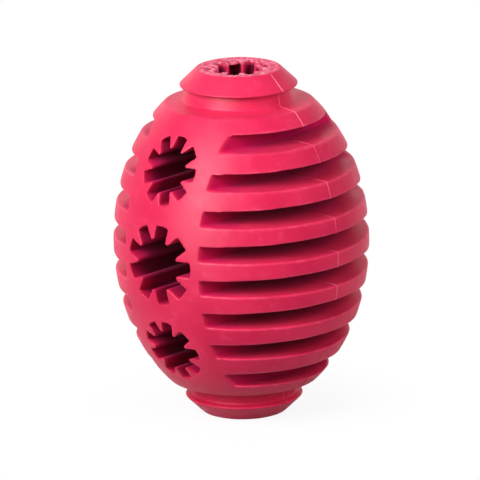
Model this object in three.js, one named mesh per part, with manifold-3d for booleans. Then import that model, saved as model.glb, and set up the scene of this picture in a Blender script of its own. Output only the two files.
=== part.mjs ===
// Treat dispensing rugby ball, a rubber dog toy.
// An oval ball whose sides are ribbed, with a plain band down its front and its
// back. Toothed holes go through the bands, and a toothed bore runs from end to
// end. The ball stands on one of its two flat, capped ends.
// Millimetres. +Z runs along the ball, the holes face -Y and +Y, and the origin
// is in the middle of the lower end face.

import * as THREE from 'three';
import { mergeVertices } from 'three/addons/utils/BufferGeometryUtils.js';
import Module from 'manifold-3d';

// Overall
const ballDiameter = 76;
const ballLength = 105;

// Ends: a flared cap on a short neck that stands on a shoulder
const endRimWidth = 2.9; // flat rim between the bore's slots and the edge of the end face
const capFlare = 5.3; // how much wider the cap is at its foot than at its end face
const capHeight = 5.1;
const neckDepth = 2.5; // how far the neck lies inside the cap's wide edge
const neckTaper = 0.9; // how much the neck widens towards the shoulder
const neckHeight = 4.5;
const shoulderDiameter = 44.2;
const shoulderFall = 0.7; // drop of the shoulder's face from the neck to its edge
const capEdgeRound = 0.8;
const neckRound = 1.1;
const shoulderEdgeRound = 0.6;

// Ribs on both sides, left between grooves that are all alike
const ribPitch = 10.25;
const grooveMouth = 5.7; // height of a groove at the ball's widest circle
const grooveThroat = 4.4; // height of a groove beside the band, where it is narrowest
const shoulderLand = 2.5; // least height of the last rib, under the shoulder

// Plain band down the front and the back, and the groove floors beside it
const bandLand = 2.4; // band left on each side of the large holes
const floorRise = 3.5; // how much further out the floor lies at the seam than at the band

// Toothed holes
const slotCount = 9;
const largeHole = { radius: 12, slotWidth: 4.4, tipRound: 0.65 };
const smallHole = { radius: 9.6, slotWidth: 3.6, tipRound: 0.45 };
const webBetweenHoles = 5.7;

// Facets
const segmentsRound = 48;
const roundSegments = 2;
const toothArcSegments = 1;
const beyond = 5; // how far a cutting shape runs past what it cuts

// Derived sizes, with heights taken from the middle of the ball
const halfLength = ballLength / 2;
const ballRadius = ballDiameter / 2;
const boreHole = smallHole;
const endRadius = boreHole.radius + endRimWidth;
const capRadius = endRadius + capFlare;
const neckRadius = capRadius - neckDepth;
const capFoot = halfLength - capHeight;
const neckFoot = capFoot - neckHeight;
const shoulderTop = neckFoot - shoulderFall;
const shoulderRadius = shoulderDiameter / 2;
const bandHalfWidth = largeHole.radius + bandLand;
const holePitch = largeHole.radius + webBetweenHoles + smallHole.radius;

// The oval is the ellipse through the widest circle and the shoulder's edge.
const ovalHalfLength = shoulderTop / Math.sqrt(1 - (shoulderRadius / ballRadius) ** 2);
const ovalRadiusAt = (z) => ballRadius * Math.sqrt(Math.max(0, 1 - (z / ovalHalfLength) ** 2));

// The middle height of each groove above the middle rib.
const grooveCount = Math.floor((shoulderTop - shoulderLand + (ribPitch - grooveMouth) / 2) / ribPitch);
const grooveHeights = Array.from({ length: grooveCount }, (_, i) => (i + 0.5) * ribPitch);

const wasm = await Module();
wasm.setup();

// A closed geometry as a solid that can be cut and joined.
function solidOf(geometry) {
  geometry.deleteAttribute('normal');
  geometry.deleteAttribute('uv');
  const position = geometry.getAttribute('position');
  for (let i = 0; i < position.array.length; i += 1) {
    if (Math.abs(position.array[i]) < 1e-6) position.array[i] = 0;
  }
  const merged = mergeVertices(geometry, 1e-5);
  return new wasm.Manifold(new wasm.Mesh({
    numProp: 3,
    vertProperties: merged.getAttribute('position').array,
    triVerts: new Uint32Array(merged.index.array),
  }));
}

function geometryOf(solid) {
  const mesh = solid.getMesh();
  const geometry = new THREE.BufferGeometry();
  geometry.setAttribute('position', new THREE.BufferAttribute(mesh.vertProperties, 3));
  geometry.setIndex(new THREE.BufferAttribute(mesh.triVerts, 1));
  const faceted = geometry.toNonIndexed();
  faceted.computeVertexNormals();
  return faceted;
}

// An open outline through [x, y, round] corners. A rounded corner is drawn as a
// short arc that is no longer than its shorter side allows.
function roundedOutline(corners) {
  return corners.flatMap(([x, y, round = 0], i) => {
    const corner = new THREE.Vector2(x, y);
    if (round === 0) return [corner];
    const before = new THREE.Vector2(corners[i - 1][0], corners[i - 1][1]).sub(corner);
    const after = new THREE.Vector2(corners[i + 1][0], corners[i + 1][1]).sub(corner);
    const reach = Math.min(round, 0.45 * before.length(), 0.45 * after.length());
    const start = corner.clone().addScaledVector(before.normalize(), reach);
    const end = corner.clone().addScaledVector(after.normalize(), reach);
    return new THREE.QuadraticBezierCurve(start, corner, end).getPoints(roundSegments);
  });
}

// A solid of revolution about Z from points of (radius, height).
function revolved(points) {
  return solidOf(new THREE.LatheGeometry(points, segmentsRound).rotateX(Math.PI / 2));
}

// The whole outside: oval, shoulders, necks and caps.
function ballBlank() {
  const upperEnd = [
    [shoulderRadius, shoulderTop, shoulderEdgeRound],
    [neckRadius + neckTaper, neckFoot, neckRound],
    [neckRadius, capFoot - shoulderFall / 2, neckRound / 2],
    [capRadius, capFoot, capEdgeRound],
    [endRadius, halfLength, capEdgeRound],
    [0, halfLength],
  ];
  const rows = grooveHeights.flatMap((z) => [z - grooveMouth / 2, z + grooveMouth / 2]);
  const upperRows = rows.map((z) => [ovalRadiusAt(z), z]);
  const upper = [...upperRows, ...upperEnd];
  const lower = upper.map(([r, z, round]) => [r, -z, round]).reverse();
  return revolved(roundedOutline([...lower, [ballRadius, 0], ...upper]));
}

// The section of a groove on one side, seen along Y: it opens from its throat at
// the band to its mouth, and goes on at the same slope.
function grooveSection(side) {
  const slope = (grooveMouth - grooveThroat) / 2 / (ballRadius - bandHalfWidth);
  const inside = bandHalfWidth - beyond;
  const outside = ballRadius + beyond;
  const halfInside = grooveThroat / 2 - slope * beyond;
  const halfOutside = grooveMouth / 2 + slope * beyond;
  return new THREE.Shape([
    new THREE.Vector2(side * inside, -halfInside),
    new THREE.Vector2(side * outside, -halfOutside),
    new THREE.Vector2(side * outside, halfOutside),
    new THREE.Vector2(side * inside, halfInside),
  ]);
}

// The plan of the groove floor on one side at one height: a flat wall that leans
// from the edge of the band out to the seam and back.
function floorPlan(side, surfaceRadius) {
  const bandReach = Math.sqrt(surfaceRadius ** 2 - bandHalfWidth ** 2);
  const lean = floorRise / bandReach;
  const far = ballRadius + beyond;
  const atSeam = bandHalfWidth + floorRise;
  const atFar = atSeam - lean * far;
  return new THREE.Shape([
    new THREE.Vector2(side * atFar, -far),
    new THREE.Vector2(side * far, -far),
    new THREE.Vector2(side * far, far),
    new THREE.Vector2(side * atFar, far),
    new THREE.Vector2(side * atSeam, 0),
  ]);
}

// The grooves on both sides at one height.
function groovePair(height) {
  const sides = [-1, 1];
  const width = ballDiameter + 2 * beyond;
  const tall = grooveMouth + 2 * beyond;
  const sections = new THREE.ExtrudeGeometry(sides.map(grooveSection), {
    depth: width, bevelEnabled: false,
  }).rotateX(Math.PI / 2).translate(0, width / 2, height);
  const surfaceRadius = ovalRadiusAt(height);
  const plans = new THREE.ExtrudeGeometry(sides.map((side) => floorPlan(side, surfaceRadius)), {
    depth: tall, bevelEnabled: false,
  }).translate(0, 0, height - tall / 2);
  return solidOf(sections).intersect(solidOf(plans));
}

// A round hole with teeth: slots of equal width point outwards, and each tooth
// between two slots ends in a rounded tip.
function toothedShape({ radius, slotWidth, tipRound }, firstSlot) {
  const shape = new THREE.Shape();
  const step = 2 * Math.PI / slotCount;
  const slotEnd = Math.asin(slotWidth / 2 / radius);
  const tipCentre = (slotWidth / 2 + tipRound) / Math.sin(step / 2);
  for (let i = 0; i < slotCount; i += 1) {
    const slot = firstSlot + i * step;
    const tooth = slot + step / 2;
    const x = tipCentre * Math.cos(tooth);
    const y = tipCentre * Math.sin(tooth);
    shape.absarc(0, 0, radius, slot - slotEnd, slot + slotEnd, false);
    shape.absarc(x, y, tipRound, slot - Math.PI / 2, slot + step + Math.PI / 2, true);
  }
  shape.closePath();
  return shape;
}

function toothedPrism(hole, firstSlot, length) {
  const geometry = new THREE.ExtrudeGeometry(toothedShape(hole, firstSlot), {
    depth: length, bevelEnabled: false, curveSegments: toothArcSegments,
  });
  return geometry.translate(0, 0, -length / 2);
}

// A hole through the ball from front to back, with one slot towards +X.
function crossHole(hole, height) {
  const prism = toothedPrism(hole, 0, ballDiameter + 2 * beyond);
  return solidOf(prism.rotateX(Math.PI / 2).translate(0, 0, height));
}

// The bore from end to end, with one slot towards -X.
function endBore() {
  return solidOf(toothedPrism(boreHole, Math.PI, ballLength + 2 * beyond));
}

function ballSolid() {
  let ball = ballBlank();
  for (const height of grooveHeights) {
    ball = ball.subtract(groovePair(height));
    ball = ball.subtract(groovePair(-height));
  }
  ball = ball.subtract(crossHole(largeHole, 0));
  ball = ball.subtract(crossHole(smallHole, holePitch));
  ball = ball.subtract(crossHole(smallHole, -holePitch));
  return ball.subtract(endBore());
}

// One half of the ball, cut at the seam. The front is -Y and the back is +Y.
function ballHalf(ball, side) {
  const span = 2 * ballLength;
  const block = new THREE.BoxGeometry(span, span, span).translate(0, side * span / 2, 0);
  return geometryOf(ball.intersect(solidOf(block)));
}

const rubber = () => new THREE.MeshStandardMaterial({
  color: 0xef3a62, roughness: 0.6, metalness: 0,
});

const toy = new THREE.Group();
toy.name = 'treat_ball';
toy.position.z = halfLength;

const ball = ballSolid();
for (const [name, side] of [['front_half', -1], ['back_half', 1]]) {
  const half = new THREE.Mesh(ballHalf(ball, side), rubber());
  half.name = name;
  toy.add(half);
}

export default toy;
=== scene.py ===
# %% [markdown]
# A treat ball is one thick lump of raspberry-red rubber, moulded in two halves.
# The CAD model holds its true shape with crisp edges. This lesson dresses it: it
# models the same ball again with the soft edges, torn ends and seam that moulded
# rubber has, gives it a rubber finish, and sets it in a plain bright studio.
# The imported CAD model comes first, because every size is taken from it or set
# beside it.

# %% Load the frame
from math import asin, cos, pi, radians, sin, sqrt

import bmesh
import bpy
import numpy as np
from mathutils import Matrix, Vector, noise


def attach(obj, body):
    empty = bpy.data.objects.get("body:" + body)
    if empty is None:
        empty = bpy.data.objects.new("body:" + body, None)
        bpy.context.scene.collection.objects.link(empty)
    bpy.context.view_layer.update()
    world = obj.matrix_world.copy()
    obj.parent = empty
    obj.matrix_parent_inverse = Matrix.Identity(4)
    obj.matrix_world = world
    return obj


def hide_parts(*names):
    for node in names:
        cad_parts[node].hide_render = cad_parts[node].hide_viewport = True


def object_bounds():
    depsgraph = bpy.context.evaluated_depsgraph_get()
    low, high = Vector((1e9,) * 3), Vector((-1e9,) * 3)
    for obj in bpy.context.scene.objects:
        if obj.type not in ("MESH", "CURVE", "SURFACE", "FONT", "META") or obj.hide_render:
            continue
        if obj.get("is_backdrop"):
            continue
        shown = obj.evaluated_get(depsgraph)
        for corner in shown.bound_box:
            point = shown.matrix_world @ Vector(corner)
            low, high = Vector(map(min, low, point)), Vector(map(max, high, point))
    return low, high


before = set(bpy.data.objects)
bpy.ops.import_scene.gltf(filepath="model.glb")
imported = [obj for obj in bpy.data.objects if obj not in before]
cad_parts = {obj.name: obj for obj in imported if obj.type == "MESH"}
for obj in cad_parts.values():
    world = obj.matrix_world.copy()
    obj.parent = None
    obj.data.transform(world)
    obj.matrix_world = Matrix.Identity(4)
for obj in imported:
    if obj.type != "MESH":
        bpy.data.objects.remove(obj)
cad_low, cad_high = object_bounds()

mm = 0.001
ball_radius = (cad_high.x - cad_low.x) / 2
half_length = (cad_high.z - cad_low.z) / 2
middle = Vector((0, 0, (cad_high.z + cad_low.z) / 2))
print("CAD box in mm", [round(side / mm, 2) for side in cad_high - cad_low])

# %% [markdown]
# The camera is settled before any modelling, so that each piece can be judged in
# the photograph's own frame. A long lens far away keeps the ribs almost parallel,
# as they are in the photograph. The camera is placed by angles round the ball,
# and not by dragging it, because the angles were fitted to the ball's outline.

# %% Camera
photo_pixels = 480
focal_pixels = 6586
ball_centre_pixel = (241.39, 238.37)
pixel_size = ball_radius / 127.9  # the ball's widest circle spans 255.8 pixels
view_azimuth = radians(41.97)
view_elevation = radians(15.45)
view_roll = radians(1.06)


def photo_camera():
    """A camera that sees the ball as the photograph does."""
    data = bpy.data.cameras.new("photo_camera")
    data.sensor_width = 36
    data.lens = data.sensor_width * focal_pixels / photo_pixels
    data.shift_x = (photo_pixels / 2 - ball_centre_pixel[0]) / photo_pixels
    data.shift_y = (ball_centre_pixel[1] - photo_pixels / 2) / photo_pixels
    data.clip_end = 50
    level = Vector((-sin(view_azimuth), cos(view_azimuth), 0))
    right = Vector((cos(view_azimuth), sin(view_azimuth), 0))
    ahead = level * cos(view_elevation) - Vector((0, 0, sin(view_elevation)))
    up = level * sin(view_elevation) + Vector((0, 0, cos(view_elevation)))
    across = right * cos(view_roll) - up * sin(view_roll)
    upright = right * sin(view_roll) + up * cos(view_roll)
    camera = bpy.data.objects.new("photo_camera", data)
    camera.matrix_world = Matrix((across, upright, -ahead)).transposed().to_4x4()
    camera.location = middle - ahead * focal_pixels * pixel_size
    bpy.context.scene.collection.objects.link(camera)
    bpy.context.scene.camera = camera
    return camera


camera = photo_camera()
print("camera distance in m", round((camera.location - middle).length, 3))

# %% [markdown]
# Every shape below is drawn in a bmesh and becomes an object at the origin, with
# its place in its mesh. Two small helpers do that: one turns a bmesh into an
# object, and the other bakes an object's modifiers into a plain mesh, so that the
# next step starts from real geometry.

# %% From bmesh to object, and from modifiers to mesh
def shape(name, bm):
    """The bmesh as an object at the origin, with its faces pointing out."""
    bmesh.ops.recalc_face_normals(bm, faces=bm.faces)
    mesh = bpy.data.meshes.new(name)
    bm.to_mesh(mesh)
    bm.free()
    return linked(name, mesh)


def linked(name, mesh):
    """A mesh as an object of the scene."""
    piece = bpy.data.objects.new(name, mesh)
    bpy.context.scene.collection.objects.link(piece)
    return piece


def baked(name, *sources):
    """A new object with the sources' modifiers applied; the sources are removed."""
    graph = bpy.context.evaluated_depsgraph_get()
    mesh = bpy.data.meshes.new_from_object(sources[0].evaluated_get(graph))
    for source in sources:
        bpy.data.objects.remove(source)
    print(name, "has", len(mesh.polygons), "faces")
    return linked(name, mesh)


# %% [markdown]
# The blank is everything that is round: the oval, and at each end a shoulder, a
# neck and a flared cap. It could be a sculpted sphere, but a turned profile gives
# exact sizes. So half a section is drawn from the lower end to the upper one and
# spun round the Z axis.

# %% Sizes of the blank
bore_radius = 9.6 * mm
end_radius = bore_radius + 2.9 * mm
cap_radius = end_radius + 5.3 * mm
neck_radius = cap_radius - 2.5 * mm
neck_foot_radius = neck_radius + 0.9 * mm
shoulder_radius = 22.1 * mm
cap_foot = half_length - 5.1 * mm
neck_foot = cap_foot - 4.5 * mm
shoulder_top = neck_foot - 0.7 * mm
oval_half_length = shoulder_top / sqrt(1 - (shoulder_radius / ball_radius) ** 2)


def oval_radius(height):
    """Radius of the ball's surface at a height from its middle."""
    return ball_radius * sqrt(max(0, 1 - (height / oval_half_length) ** 2))


# %% Profile with rounded corners
def rounded(corners, steps=6):
    """An open outline through (radius, height, round) corners."""
    points = []
    for i, (x, z, round_by) in enumerate(corners):
        corner = Vector((x, z))
        if not round_by:
            points.append(corner)
            continue
        sides = [Vector(corners[j][:2]) - corner for j in (i - 1, i + 1)]
        reach = min(round_by, *(0.45 * side.length for side in sides))
        start, end = (corner + side.normalized() * reach for side in sides)
        for k in range(steps + 1):
            t = k / steps
            points.append(start.lerp(corner, t).lerp(corner.lerp(end, t), t))
    return points


# %% Spin the blank
rows = 24
upper_end = [
    (shoulder_radius, shoulder_top, 0.35 * mm),
    (neck_foot_radius, neck_foot, 0.5 * mm),
    (neck_radius, cap_foot - 0.35 * mm, 0.4 * mm),
    (cap_radius, cap_foot, 0.6 * mm),
    (end_radius, half_length, 0.45 * mm),
    (0, half_length, 0),
]
oval_rows = [shoulder_top * row / rows for row in range(1, rows)]
upper = [(oval_radius(z), z, 0) for z in oval_rows] + upper_end
lower = [(r, -z, round_by) for r, z, round_by in reversed(upper)]

bm = bmesh.new()
dots = [bm.verts.new((p.x, 0, p.y)) for p in rounded([*lower, (ball_radius, 0, 0), *upper])]
lines = [bm.edges.new(pair) for pair in zip(dots, dots[1:])]
bmesh.ops.spin(
    bm, geom=dots + lines, cent=(0, 0, 0), axis=(0, 0, 1), angle=2 * pi, steps=240, use_merge=True
)
bmesh.ops.remove_doubles(bm, verts=bm.verts, dist=0.001 * mm)
blank = shape("blank", bm)
print("blank has", len(blank.data.polygons), "faces")

# %% [markdown]
# Eight grooves on each side leave nine ribs. Each groove is a drafted pocket: its
# floor leans outwards to the seam, and its height grows from the plain band to the
# ball's widest circle, so that the moulding can leave its mould. One groove is a
# flat plan that is extruded upwards, and its roof and floor are then tilted.

# %% Sizes of the grooves
band_half_width = 14.4 * mm
floor_rise = 3.5 * mm
rib_pitch = 10.25 * mm
groove_mouth = 5.7 * mm
groove_throat = 4.4 * mm
groove_slope = (groove_mouth - groove_throat) / 2 / (ball_radius - band_half_width)
groove_heights = [side * (i + 0.5) * rib_pitch for i in range(4) for side in (-1, 1)]
beyond = 5 * mm  # how far a cutting shape runs past the ball


def half_groove(x):
    """Half the height of a groove at a distance from the middle plane X = 0."""
    return groove_mouth / 2 + groove_slope * (abs(x) - ball_radius)


print("grooves on each side", len(groove_heights))

# %% Shapes that cut the grooves
def moved_verts(extruded):
    """The vertices that an extrusion has just made."""
    return [part for part in extruded["geom"] if isinstance(part, bmesh.types.BMVert)]


def add_groove(bm, height, side):
    """One groove at a height, on the -X side (-1) or the +X side (1)."""
    reach = sqrt(oval_radius(height) ** 2 - band_half_width**2)
    far = ball_radius + beyond
    at_seam = band_half_width + floor_rise
    at_far = at_seam - floor_rise / reach * far
    plan = [(at_far, -far), (far, -far), (far, far), (at_far, far), (at_seam, 0)]
    face = bm.faces.new([bm.verts.new((side * x, y, height)) for x, y in plan])
    bottom = list(face.verts)
    top = moved_verts(bmesh.ops.extrude_face_region(bm, geom=[face]))
    for direction, ring in ((-1, bottom), (1, top)):
        for vert in ring:
            vert.co.z += direction * half_groove(vert.co.x)


bm = bmesh.new()
for height in groove_heights:
    for side in (-1, 1):
        add_groove(bm, height, side)
grooves = shape("grooves", bm)
print("grooves have", len(grooves.data.polygons), "faces")

# %% [markdown]
# The treat holes are not round. Nine slots of equal width point outwards, and the
# rubber between them stands as nine blunt teeth that grip a biscuit. The outline
# is drawn with arcs, then extruded right through the ball: three times from front
# to back, and once from end to end.

# %% Sizes of the toothed holes
slot_count = 9
large_hole = {"radius": 12 * mm, "slot": 4.4 * mm, "tip": 0.65 * mm}
small_hole = {"radius": bore_radius, "slot": 3.6 * mm, "tip": 0.45 * mm}
hole_pitch = large_hole["radius"] + 5.7 * mm + small_hole["radius"]
slot_step = 2 * pi / slot_count
arc_steps = 6
print("middles of the holes are", round(hole_pitch / mm, 2), "mm apart")


# %% Outline of a toothed hole
def on_circle(radius, angle, centre=(0, 0)):
    """The point of a circle at an angle."""
    return (centre[0] + radius * cos(angle), centre[1] + radius * sin(angle))


def toothed_outline(hole, first_slot):
    """Points round the hole: the outer end of each slot, then the tip of each tooth."""
    end_angle = asin(hole["slot"] / 2 / hole["radius"])
    tip_distance = (hole["slot"] / 2 + hole["tip"]) / sin(slot_step / 2)
    steps = [k / arc_steps for k in range(arc_steps + 1)]
    points = []
    for i in range(slot_count):
        slot = first_slot + i * slot_step
        tip_centre = on_circle(tip_distance, slot + slot_step / 2)
        points += [on_circle(hole["radius"], slot + end_angle * (2 * t - 1)) for t in steps]
        points += [
            on_circle(hole["tip"], slot - pi / 2 - (pi - slot_step) * t, tip_centre) for t in steps
        ]
    return points


# %% Shapes that cut the holes
def toothed_cutter(name, hole, first_slot, length, place):
    """The outline as a long prism, moved to its place in the ball."""
    bm = bmesh.new()
    outline = toothed_outline(hole, first_slot)
    face = bm.faces.new([bm.verts.new((x, y, -length / 2)) for x, y in outline])
    far_end = moved_verts(bmesh.ops.extrude_face_region(bm, geom=[face]))
    bmesh.ops.translate(bm, verts=far_end, vec=(0, 0, length))
    bmesh.ops.transform(bm, verts=bm.verts, matrix=place)
    return shape(name, bm)


def cross_cutter(name, hole, height):
    """A prism that goes through the ball from front to back."""
    place = Matrix.Translation((0, 0, height)) @ Matrix.Rotation(pi / 2, 4, "X")
    return toothed_cutter(name, hole, 0, 2 * (ball_radius + beyond), place)


cutters = [
    grooves,
    cross_cutter("middle_hole", large_hole, 0),
    cross_cutter("upper_hole", small_hole, hole_pitch),
    cross_cutter("lower_hole", small_hole, -hole_pitch),
    toothed_cutter("bore", small_hole, pi, 2 * (half_length + beyond), Matrix()),
]

# %% [markdown]
# All the cutters are taken away from the blank in one go. The same could be done by
# hand with knife cuts, but Boolean modifiers follow the exact shapes. The Manifold
# solver is quick and leaves a closed mesh, which the next steps rely on.

# %% Cut the grooves and the holes
for cutter in cutters:
    print("cut with", cutter.name)
    cut = blank.modifiers.new(cutter.name, "BOOLEAN")
    cut.operation = "DIFFERENCE"
    cut.solver = "MANIFOLD"
    cut.object = cutter
crisp_ball = baked("crisp_ball", blank, *cutters)

# %% [markdown]
# At the ends the bore was torn open, and rags of rubber still hang across some of
# its slots. Each rag is a squashed, roughened ball that sits in a slot just under
# the end face. They only have to overlap the slot's walls, because the next step
# melts everything into one skin.

# %% Torn rags across the slots of the bore
rag_thickness = 1.1 * mm
rag_depth = 0.75 * mm  # from the end face down to the middle of a rag
rag_lumpiness = 0.22
upper_rags = [  # angle in degrees, then where the rag starts and ends, in mm from the axis
    (20, 7.0, 10.6),
    (60, 5.9, 8.3),
    (147, 6.4, 10.8),
    (220, 5.9, 8.2),
    (260, 7.4, 9.2),
    (300, 7.8, 10.8),
    (340, 7.6, 10.8),
]


def add_rag(bm, slot, start, end, upside):
    """A rag in one slot of the upper end (upside 1) or of the lower end (-1)."""
    lump = bmesh.ops.create_icosphere(bm, subdivisions=4, radius=1)["verts"]
    for vert in lump:
        lump_noise = noise.noise(vert.co * 1.7 + Vector((slot, end, upside)))
        vert.co *= 1 + rag_lumpiness * lump_noise
    size = ((end - start) / 2 * mm, 0.62 * small_hole["slot"], rag_thickness / 2)
    bmesh.ops.scale(bm, verts=lump, vec=size)
    bmesh.ops.translate(bm, verts=lump, vec=((start + end) / 2 * mm, 0, 0))
    turn = Matrix.Rotation(radians(slot), 3, "Z")
    bmesh.ops.rotate(bm, verts=lump, cent=(0, 0, 0), matrix=turn)
    bmesh.ops.translate(bm, verts=lump, vec=(0, 0, upside * (half_length - rag_depth)))


bm = bmesh.new()
bm.from_mesh(crisp_ball.data)
for slot, start, end in upper_rags:
    add_rag(bm, slot, start, end, 1)
    add_rag(bm, slot + 3 * 360 / slot_count, start, end, -1)
ragged_ball = shape("ragged_ball", bm)
bpy.data.objects.remove(crisp_ball)
print("rags at each end", len(upper_rags))

# %% [markdown]
# Real rubber has no sharp edges. A Bevel would have to cope with hundreds of odd
# little faces where the teeth meet the oval, so the ball is remeshed into voxels
# instead and then smoothed, which rounds every edge by about the same amount. The
# upper edges of the ribs are rounder than the rest, so they are smoothed again.

# %% Remesh
voxel = 0.3 * mm
remesh = ragged_ball.modifiers.new("voxels", "REMESH")
remesh.mode = "VOXEL"
remesh.voxel_size = voxel
soft_ball = baked("soft_ball", ragged_ball)

# %% Find the upper edges of the ribs
rib_top_reach = 1.4 * mm
weight_levels = 10


def positions(mesh):
    """All the vertices of a mesh as rows of x, y, z."""
    flat = np.empty(len(mesh.vertices) * 3)
    mesh.vertices.foreach_get("co", flat)
    return flat.reshape(-1, 3)


def oval_radii(heights):
    """Radii of the ball's surface at many heights from its middle."""
    return ball_radius * np.sqrt(np.clip(1 - (heights / oval_half_length) ** 2, 0, 1))


def near_rib_tops(points, within):
    """How near each point is to the upper outer edge of a rib, from 0 to 1."""
    x, y, z = np.abs(points[:, 0]), points[:, 1], points[:, 2]
    depth = oval_radii(z) - np.hypot(x, y)
    below = np.min([np.abs(z - h + half_groove(x)) for h in groove_heights], axis=0)
    closeness = np.clip(1.5 * (1 - np.hypot(depth, below) / within), 0, 1)
    return np.where(x > band_half_width + 0.3 * mm, closeness, 0)


rib_tops = soft_ball.vertex_groups.new(name="rib_tops")
weights = near_rib_tops(positions(soft_ball.data), rib_top_reach)
for level in range(1, weight_levels + 1):
    above = weights > (level - 1) / weight_levels
    inside = np.nonzero(above & (weights <= level / weight_levels))[0]
    rib_tops.add(inside.tolist(), level / weight_levels, "REPLACE")
print("vertices near the rib tops", int((weights > 0).sum()))


# %% Soften the edges
def soften(piece, passes, group=""):
    """Smooth a piece, or only the part of it that a vertex group holds."""
    smooth = piece.modifiers.new("soften", "SMOOTH")
    smooth.factor = 0.5
    smooth.iterations = passes
    smooth.vertex_group = group


soften(soft_ball, passes=1)
soften(soft_ball, passes=6, group=rib_tops.name)
smooth_ball = baked("smooth_ball", soft_ball)

# %% [markdown]
# The end faces are torn, not moulded: they are pitted and fibrous inside a thin
# smooth rim. Bump alone would leave them flat in the mesh, so the pits are real.
# The same step gives the whole ball the faint unevenness of a soft moulding.

# %% Where the rubber is torn
rim_width = 0.9 * mm


def ramp(value, low, high):
    """A smooth step from 0 to 1 while the value goes from low to high."""
    t = min(1, max(0, (value - low) / (high - low)))
    return t * t * (3 - 2 * t)


def torn(point):
    """How much a point belongs to a torn end face, from 0 to 1."""
    height = ramp(abs(point.z), half_length - 1.1 * mm, half_length - 0.4 * mm)
    inside = 1 - ramp(Vector(point.xy).length, end_radius - rim_width, end_radius - rim_width / 3)
    return height * inside


# %% Pit the end faces and weather the rest
swell = 0.06  # broad unevenness of the whole ball, in mm
ripple = 0.02  # finer unevenness, in mm
pit_depth = 0.18  # how far the torn face lies below its rim, in mm
pit_range = 0.30  # how much that depth varies, in mm
sway = 0.10  # how far the torn face is pulled sideways, in mm
sway_seed = 7  # picks the pattern of that pull, the same one in each run
off_floor = 0.01 * mm  # keeps the worn ball clear of the plane that it stands on


def normals(mesh):
    """The direction out of the surface at each vertex, as rows of x, y, z."""
    flat = np.empty(len(mesh.vertices) * 3)
    mesh.vertex_normals.foreach_get("vector", flat)
    return flat.reshape(-1, 3)


def weathered(spot, out):
    """How far a vertex moves, in millimetres along X, Y and Z."""
    point = Vector(spot)
    move = Vector(out) * (swell * noise.noise(point * 90) + ripple * noise.noise(point * 420))
    tear = torn(point) if abs(point.z) > half_length - 1.2 * mm else 0
    if tear:
        fibres = Vector((point.x * 380, point.y * 700, point.z * 500))
        depth = max(0, tear * (pit_depth + pit_range * noise.fractal(fibres, 0.9, 2.1, 3)))
        move += Vector((0, 0, -depth if point.z > 0 else depth))
        move += tear * sway * noise.noise_vector(point * 700) * Vector((1, 1, 0))
    return move


noise.seed_set(sway_seed)
spots = positions(smooth_ball.data)
moves = [weathered(spot, out) for spot, out in zip(spots, normals(smooth_ball.data))]
worn_spots = spots + np.array(moves) * mm
worn_spots[:, 2] = worn_spots[:, 2].clip(off_floor - half_length, half_length - off_floor)
smooth_ball.data.vertices.foreach_set("co", worn_spots.ravel())
smooth_ball.data.update()
print("moved the surface by up to", round(np.abs(moves).max(), 2), "mm")

# %% [markdown]
# The voxel mesh has far more faces than its flat parts need. A Decimate modifier
# merges them and keeps the edges, and two large blocks then divide the ball at
# the seam, so that each half is a closed moulding that stands for its CAD half.

# %% Thin the mesh
most_triangles = 190000  # in each half
cut_allowance = 0.95  # leaves room for the faces that the cut adds
triangles = sum(len(face.vertices) - 2 for face in smooth_ball.data.polygons)
thin = smooth_ball.modifiers.new("thin", "DECIMATE")
thin.ratio = min(1, 2 * cut_allowance * most_triangles / triangles)
whole_ball = baked("whole_ball", smooth_ball)
whole_ball.data.transform(Matrix.Translation(middle))


# %% Keep one half at a time
def half_ball(name, side):
    """The half of the ball in front of the seam (side -1) or behind it (side 1)."""
    span = 4 * half_length
    bm = bmesh.new()
    bmesh.ops.create_cube(bm, size=span)
    bmesh.ops.translate(bm, verts=bm.verts, vec=(0, side * span / 2, 0))
    block = shape("block", bm)
    whole = linked(name, whole_ball.data.copy())
    cut = whole.modifiers.new("half", "BOOLEAN")
    cut.operation = "INTERSECT"
    cut.solver = "MANIFOLD"
    cut.object = block
    half = baked(name, whole, block)
    half.name = name
    half.data.shade_smooth()
    half.data.set_sharp_from_angle(angle=radians(60))
    return half


front = half_ball("front_rubber", -1)
back = half_ball("back_rubber", 1)
for half in (front, back):
    print(half.name, "has", sum(len(face.vertices) - 2 for face in half.data.polygons), "triangles")

# %% [markdown]
# Where the two halves meet, rubber crept into the joint of the mould and left a
# hairline ridge. It runs over everything on the outside: cap, neck, shoulder and
# every rib. It is traced on the ball itself, by cutting a section and following
# the outer line, so that it always lies on the soft surface.

# %% Trace the seam
outside_of_holes = end_radius + 0.35 * mm
shortest_chain = 20  # points; anything shorter is a stray scrap of the section


def chain_from(vert, seen):
    """The points from one end of an open line to the other."""
    chain = []
    while vert is not None and vert not in seen:
        seen.add(vert)
        chain.append(vert.co.copy())
        onward = [e.other_vert(vert) for e in vert.link_edges]
        vert = next((v for v in onward if v not in seen), None)
    return chain


def section_lines(side):
    """The chains of points where the plane of the seam cuts the outside of the ball."""
    bm = bmesh.new()
    bm.from_mesh(whole_ball.data)
    everything = [*bm.verts, *bm.edges, *bm.faces]
    bmesh.ops.bisect_plane(
        bm, geom=everything, dist=0, plane_co=(0, 0, 0), plane_no=(0, 1, 0),
        clear_inner=True, clear_outer=True,
    )
    hidden = [v for v in bm.verts if v.co.x * side < outside_of_holes]
    bmesh.ops.delete(bm, geom=hidden, context="VERTS")
    bmesh.ops.remove_doubles(bm, verts=bm.verts, dist=0.05 * mm)
    ends = [v for v in bm.verts if len(v.link_edges) == 1]
    seen = set()
    chains = [chain_from(end, seen) for end in ends]
    bm.free()
    return [chain for chain in chains if len(chain) > shortest_chain]


# %% Points and thickness along the seam
seam_radius = 0.23 * mm
seam_step = 0.5 * mm


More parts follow.
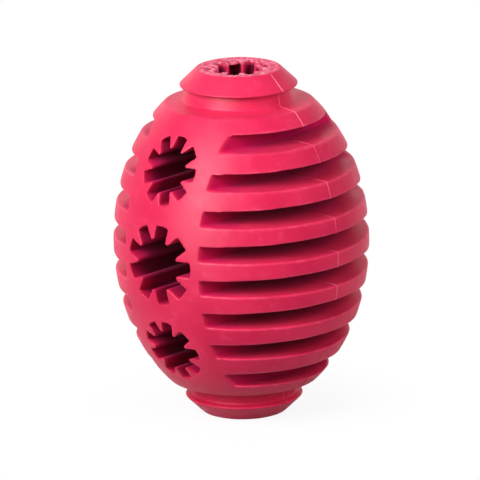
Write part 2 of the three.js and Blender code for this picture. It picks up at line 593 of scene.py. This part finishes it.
def evenly(chain, gap):
    """Points along a chain, a steady gap apart."""
    points = [chain[0]]
    for a, b in zip(chain, chain[1:]):
        count = int((b - a).length // gap)
        points += [a.lerp(b, k / (count + 1)) for k in range(1, count + 1)]
        if (b - points[-1]).length > gap / 2:
            points.append(b)
    return points


def ridge_height(point):
    """The ridge's thickness from 0 to 1: it is strongest on the upper end and wavers."""
    height = (point.z - middle.z) / half_length
    return max(0.25, 0.65 + 0.25 * height + 0.35 * noise.noise(point * 260))


# %% Seam ridge
def seam_ridge():
    """The seam on both sides of the ball as one thin tube, half sunk in the rubber."""
    curve = bpy.data.curves.new("seam_line", "CURVE")
    curve.dimensions = "3D"
    curve.bevel_depth = seam_radius
    curve.bevel_resolution = 2
    curve.use_fill_caps = True
    for side in (-1, 1):
        for chain in section_lines(side):
            points = evenly(chain, seam_step)
            spline = curve.splines.new("POLY")
            spline.points.add(len(points) - 1)
            for dot, point in zip(spline.points, points):
                dot.co = (*point, 1)
                dot.radius = ridge_height(point)
            print("seam line with", len(points), "points")
    ridge = baked("seam_ridge", bpy.data.objects.new("seam_line", curve))
    ridge.data.shade_smooth()
    return ridge


seam = seam_ridge()
bpy.data.objects.remove(whole_ball)

# %% [markdown]
# All materials are built from maths on the ball's own coordinates. A small class
# wraps a number that varies over the surface, so that a pattern can be written as
# an ordinary expression, and one method adds any other node. A painted image would
# need the ball unwrapped, and would blur where the view comes close.

# %% Shader maths
class Signal:
    """A number or colour that varies over the surface."""

    def __init__(self, finish, socket):
        self.finish = finish
        self.socket = socket

    def maths(self, operation, *values):
        """One Math node on values that may be signals or plain numbers."""
        return self.finish.node("ShaderNodeMath", {"operation": operation}, dict(enumerate(values)))

    def __add__(self, other):
        return self.maths("ADD", self, other)

    def __sub__(self, other):
        return self.maths("SUBTRACT", self, other)

    def __rsub__(self, other):
        return self.maths("SUBTRACT", other, self)

    def __mul__(self, other):
        return self.maths("MULTIPLY", self, other)

    def __pow__(self, other):
        return self.maths("POWER", self, other)

    def __mod__(self, other):
        return self.maths("FLOORED_MODULO", self, other)

    def __abs__(self):
        return self.maths("ABSOLUTE", self)

    def __or__(self, other):
        """The larger of two values, such as the union of two masks."""
        return self.maths("MAXIMUM", self, other)

    __radd__ = __add__
    __rmul__ = __mul__


# %% Nodes of a material or of the world
class Finish:
    """The nodes of one material or world, and the one method that adds a node."""

    def __init__(self, owner):
        owner.use_nodes = True
        self.owner = owner
        self.tree = owner.node_tree
        self.tree.nodes.clear()

    def node(self, kind, settings=None, inputs=None, output=0):
        """Adds a node: its type, its settings, its inputs, and which output is used."""
        made = self.tree.nodes.new(kind)
        for key, value in (settings or {}).items():
            setattr(made, key, value)
        for key, value in (inputs or {}).items():
            if isinstance(value, Signal):
                self.tree.links.new(value.socket, made.inputs[key])
            else:
                made.inputs[key].default_value = value
        return Signal(self, made.outputs[output]) if made.outputs else made

    def noise(self, where, scale, detail=2, roughness=0.5):
        """A cloudy pattern from 0 to 1, mostly near 0.5."""
        inputs = {"Vector": where, "Scale": scale, "Detail": detail, "Roughness": roughness}
        return self.node("ShaderNodeTexNoise", None, inputs)

    def span(self, value, low, high, to_low=0, to_high=1):
        """A smooth step from to_low to to_high while the value goes from low to high."""
        inputs = {
            "Value": value, "From Min": low, "From Max": high, "To Min": to_low, "To Max": to_high,
        }
        return self.node("ShaderNodeMapRange", {"interpolation_type": "SMOOTHSTEP"}, inputs)

    def blend(self, share, first, second):
        """Two colours mixed by a share from 0 to 1."""
        inputs = {0: share, 6: first, 7: second}
        return self.node("ShaderNodeMix", {"data_type": "RGBA"}, inputs, output=2)

    def background_rays(self):
        """1 for every ray that shows the background: seen, mirrored or through glass."""
        kinds = ("Is Camera Ray", "Is Glossy Ray", "Is Transmission Ray")
        seen, mirrored, through = (self.node("ShaderNodeLightPath", output=kind) for kind in kinds)
        return seen | mirrored | through


# %% [markdown]
# Moulded rubber has one pigment but not one colour. The outer skin has a dry, dusty
# bloom, the recesses, holes and bore get darker reds as painted shade, and the rubber
# is paler where it is torn and along the ribs' outer edges. Vertex paint could hold
# these zones, but the ball's shape is known exactly, so masks worked out from each
# point's place follow it more sharply.

# %% Where a point lies on the ball
def ball_place(f, where):
    """Distance from X = 0, height above the middle, distance from Z, depth in the oval."""
    x = abs(f.node("ShaderNodeSeparateXYZ", None, {0: where}, output="X"))
    z = f.node("ShaderNodeSeparateXYZ", None, {0: where}, output="Z") - middle.z
    flat = f.node("ShaderNodeVectorMath", {"operation": "MULTIPLY"}, {0: where, 1: (1, 1, 0)})
    radius = f.node("ShaderNodeVectorMath", {"operation": "LENGTH"}, {0: flat}, output="Value")
    share = abs(z) * (1 / oval_half_length)
    depth = abs(1 - share * share) ** 0.5 * ball_radius - radius
    return x, z, radius, depth


# %% Zones between the shoulders
def rib_edges(f, x, z, depth):
    """A thin line along the outer edges of the ribs."""
    off_groove = abs((z % rib_pitch) - rib_pitch / 2)
    gap = off_groove - (x - ball_radius) * groove_slope - groove_mouth / 2
    distance = (gap * gap + depth * depth) ** 0.5
    beside_band = f.span(x, band_half_width, band_half_width + 1 * mm)
    return f.span(distance, 0.3 * mm, 0.9 * mm, 1, 0) * beside_band


def oval_zones(f, x, z, depth):
    """Masks from 0 to 1 for the hollows, where shade is painted, and the paler rib edges."""
    on_oval = f.span(abs(z), shoulder_top - 1 * mm, shoulder_top, 1, 0)
    by_band = f.span(x, 18 * mm, 24 * mm, 1, 0)
    within_hole = f.span(x, 12.4 * mm, 13.4 * mm, 1, 0)
    return {
        "deep": f.span(depth, 1.5 * mm, 14 * mm) * on_oval,
        "recess": f.span(depth, 0.5 * mm, 1.8 * mm) * by_band * on_oval,
        "hole": f.span(depth, 0.8 * mm, 7 * mm) * within_hole * on_oval,
        "rib_edge": rib_edges(f, x, z, depth) * on_oval,
    }


# %% Zones at the ends
def end_zones(f, z, radius):
    """Masks from 0 to 1 for the bore, where shade is painted, and for the torn end faces."""
    within_bore = f.span(radius, bore_radius, bore_radius + 0.4 * mm, 1, 0)
    below_end = f.span(abs(z), half_length - 7 * mm, half_length - 2.5 * mm, 1, 0)
    below_rags = f.span(abs(z), half_length - 2 * mm, half_length - 0.7 * mm, 1, 0)
    in_slots = f.span(radius, 6.4 * mm, 8.4 * mm)
    end_face = f.span(abs(z), half_length - 1.3 * mm, half_length - 0.5 * mm)
    within_rim = f.span(radius, end_radius - 1.0 * mm, end_radius - 0.4 * mm, 1, 0)
    return {
        "bore": (below_end | in_slots * below_rags) * within_bore,
        "torn": end_face * within_rim,
    }


# %% [markdown]
# The rubber itself is matt, with a broad soft highlight. Three sizes of noise break
# it up: blotches of pigment, clouds of bloom, and a fine grain in the bump. The torn
# ends add a rougher, fibrous pattern, and the hollows are roughest, so that they stay
# dark. One flat red would look like plastic under the same lamps. The seam has the
# same finish in a paler red, because a thin ridge lets light through.

# %% Rubber colours
rubber_red = (0.71, 0.020, 0.086, 1)
blotch_red = (0.62, 0.010, 0.066, 1)
dusty_red = (0.76, 0.055, 0.140, 1)
# Painted shade: darker reds for the recesses, the deep hollows and the holes, where little light
# reaches
recess_shade_red = (0.56, 0.002, 0.078, 1)
deep_shade_red = (0.38, 0.002, 0.075, 1)
hole_shade_red = (0.30, 0.001, 0.058, 1)
# Painted shade: a near-black red down the bore and its slots
bore_shade_red = (0.16, 0.001, 0.030, 1)
# A paler red for a broken line along the ribs' outer edges
pale_edge_red = (0.82, 0.090, 0.190, 1)
torn_red = (0.80, 0.210, 0.320, 1)
torn_shadow = (0.56, 0.025, 0.080, 1)
seam_red = (0.82, 0.130, 0.220, 1)

# Sizes of the noise patterns, as how often they repeat in a metre
blotch_scale = 55
bloom_scale = 240
edge_break_scale = 300
fibre_scale = 700
grain_scale = 2600


def rubber_colour(f, where, zones, bloom, fibres, base):
    """The base red, with blotches, bloom, painted shade in the hollows, paler rib edges and torn
    ends.
    """
    blotches = f.span(f.noise(where, blotch_scale, 3), 0.30, 0.70)
    colour = f.blend(blotches, blotch_red, base)
    colour = f.blend(f.span(bloom, 0.50, 0.80, 0, 0.45), colour, dusty_red)
    # Painted shade: the hollows are darkened in the colour itself
    for zone, red in (("recess", recess_shade_red), ("deep", deep_shade_red), ("hole", hole_shade_red)):
        colour = f.blend(zones[zone], colour, red)
    # A paler line, broken up by noise, along the ribs' outer edges
    edge_breaks = f.span(f.noise(where, edge_break_scale, 3, 0.6), 0.45, 0.70, 0.12, 0.45)
    colour = f.blend(zones["rib_edge"] * edge_breaks, colour, pale_edge_red)
    # Painted shade down the bore and in its slots under the rags
    colour = f.blend(zones["bore"], colour, bore_shade_red)
    torn_colour = f.blend(f.span(fibres, 0.38, 0.62), torn_shadow, torn_red)
    return f.blend(zones["torn"], colour, torn_colour)


# %% Rubber finish
def rubber(name, base=rubber_red):
    """Matt rubber with a base colour, and all the zones of the ball laid over it."""
    f = Finish(bpy.data.materials.new(name))
    where = f.node("ShaderNodeTexCoord", output="Object")
    x, z, radius, depth = ball_place(f, where)
    zones = {**oval_zones(f, x, z, depth), **end_zones(f, z, radius)}
    bloom = f.noise(where, bloom_scale, 4, 0.6)
    fibres = f.noise(where, fibre_scale, 4, 0.6)
    colour = rubber_colour(f, where, zones, bloom, fibres, base)
    roughness = f.span(bloom, 0.3, 0.7, 0.41, 0.51) + (zones["torn"] | zones["recess"]) * 0.2
    roughness = roughness | (zones["deep"] | zones["bore"]) * 0.95
    grain = f.noise(where, grain_scale, 2)
    relief = grain * 0.02 + bloom * 0.10 + zones["torn"] * fibres * 0.35
    normal = f.node("ShaderNodeBump", None, {"Height": relief, "Distance": 0.35 * mm})
    shader = f.node("ShaderNodeBsdfPrincipled", None, {
        "Base Color": colour, "Roughness": roughness, "Normal": normal,
        "IOR": 1.5, "Specular IOR Level": 0.2,
        "Sheen Weight": 0.03, "Sheen Roughness": 0.45, "Sheen Tint": (1, 0.82, 0.86, 1),
    })
    f.node("ShaderNodeOutputMaterial", None, {"Surface": shader})
    print(name, "has", len(f.tree.nodes), "nodes")
    return f.owner


ball_rubber = rubber("raspberry_rubber")
seam_rubber = rubber("rubber_flash", seam_red)

# %% [markdown]
# Each finished piece gets its rubber and rides on the ball's one body, and the CAD
# halves that the pieces dress are hidden. The seam rides as well.

# %% Hand the pieces over
for piece, finish in ((front, ball_rubber), (back, ball_rubber), (seam, seam_rubber)):
    piece.data.materials.clear()
    piece.data.materials.append(finish)
    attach(piece, "root")
    print(piece.name, "is finished with", finish.name)
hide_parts("front_half")
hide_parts("back_half")

# %% [markdown]
# The ball stands on a pale floor under a white sky. The sky looks white to the
# camera and in reflections, but it lights the ball only a little, so the hollows
# stay deep. The floor is part paint, which keeps the ball's shadow, and part white
# glow, which takes over away from the ball. Reflections see the glow only further
# out, because close by the real floor lies in the ball's shade. Brighter lamps could
# whiten the floor too, but they would bleach the rubber.

# %% Floor
floor_size = 6.0


def floor_finish():
    """White paint with a glow round the ball that only shows, and lights nothing."""
    f = Finish(bpy.data.materials.new("white_floor"))
    shows = f.background_rays()
    seen = f.node("ShaderNodeLightPath", output="Is Camera Ray")
    colour = f.blend(shows, (0.25, 0.25, 0.25, 1), (0.9, 0.9, 0.9, 1))
    paint = f.node("ShaderNodeBsdfDiffuse", None, {"Color": colour})
    glow = f.node("ShaderNodeEmission", None, {"Color": (1, 1, 1, 1), "Strength": 1.0})
    where = f.node("ShaderNodeTexCoord", output="Object")
    distance = f.node("ShaderNodeVectorMath", {"operation": "LENGTH"}, {0: where}, output="Value")
    round_ball = f.span(distance, 12 * mm, 60 * mm, 0.88, 1) * seen
    whiteness = round_ball | f.span(distance, 80 * mm, 300 * mm) * shows
    surface = f.node("ShaderNodeMixShader", None, {0: whiteness, 1: paint, 2: glow})
    f.node("ShaderNodeOutputMaterial", None, {"Surface": surface})
    return f.owner


bm = bmesh.new()
bmesh.ops.create_circle(bm, cap_ends=True, segments=96, radius=floor_size)
floor = shape("floor", bm)
floor.data.materials.append(floor_finish())
floor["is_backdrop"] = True
print("floor is", 2 * floor_size, "m across")


# %% Sky
def white_sky():
    """A sky that looks white but lights the ball only a little."""
    f = Finish(bpy.data.worlds.new("white_sky"))
    fill = f.node("ShaderNodeBackground", None, {"Color": (1, 1, 1, 1), "Strength": 0.12})
    white = f.node("ShaderNodeBackground", None, {"Color": (1, 1, 1, 1), "Strength": 1.0})
    sky = f.node("ShaderNodeMixShader", None, {0: f.background_rays(), 1: fill, 2: white})
    f.node("ShaderNodeOutputWorld", None, {"Surface": sky})
    bpy.context.scene.world = f.owner


white_sky()
bpy.context.scene.view_settings.view_transform = "Standard"
print("sky", bpy.context.scene.world.name)

# %% [markdown]
# The photograph's light is one large soft lamp to the front and left, with a
# weaker one round to the right. A tall panel that shows only in reflections draws
# the pale highlight down the plain band, as a strip box does in a studio. Weak
# lamps lift the foot, the far edge and the back. Softboxes are area lamps here,
# because a sun or a point lamp would draw hard shadows in the grooves.

# %% Lamps
def lamp(name, azimuth, elevation, width, height, power, distance):
    """A softbox that faces the middle of the ball. Angles in degrees, lengths in metres."""
    data = bpy.data.lights.new(name, "AREA")
    data.shape = "RECTANGLE"
    data.size = width
    data.size_y = height
    data.energy = power
    a, e = radians(azimuth), radians(elevation)
    away = Vector((sin(a) * cos(e), -cos(a) * cos(e), sin(e)))
    light = bpy.data.objects.new(name, data)
    light.location = middle + away * distance
    light.rotation_euler = away.to_track_quat("Z", "Y").to_euler()
    bpy.context.scene.collection.objects.link(light)
    print(name, "gives", power, "W")
    return light


front_softbox = lamp("front_softbox", -6, 34, 0.6, 0.6, 10.8, 0.9)
side_softbox = lamp("side_softbox", 95, 30, 0.6, 0.6, 8.0, 1.2)
back_softbox = lamp("back_softbox", -150, 8, 0.8, 0.8, 8.0, 1.2)
foot_softbox = lamp("foot_softbox", 20, 4, 0.6, 0.6, 0.25, 1.1)
for softbox in (front_softbox, side_softbox, back_softbox, foot_softbox):
    softbox.visible_glossy = False
strip_box = lamp("strip_box", 4, 24, 0.5, 0.9, 21, 0.9)
strip_box.visible_diffuse = False
lamp("edge_softbox", -105, 25, 0.8, 0.8, 1.5, 1.2)

# %% [markdown]
# Last, the dressed ball's box is printed beside the CAD box. The unevenness and the
# seam may add a few tenths of a millimetre at most, or the ball would no longer fit
# where the CAD model fits.

# %% Print the sizes
low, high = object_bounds()
sizes = {
    "cad": [list(cad_low), list(cad_high)],
    "visual": [list(low), list(high)],
}
for name, box in sizes.items():
    print(name, "box in mm", [[round(v / mm, 2) for v in corner] for corner in box])
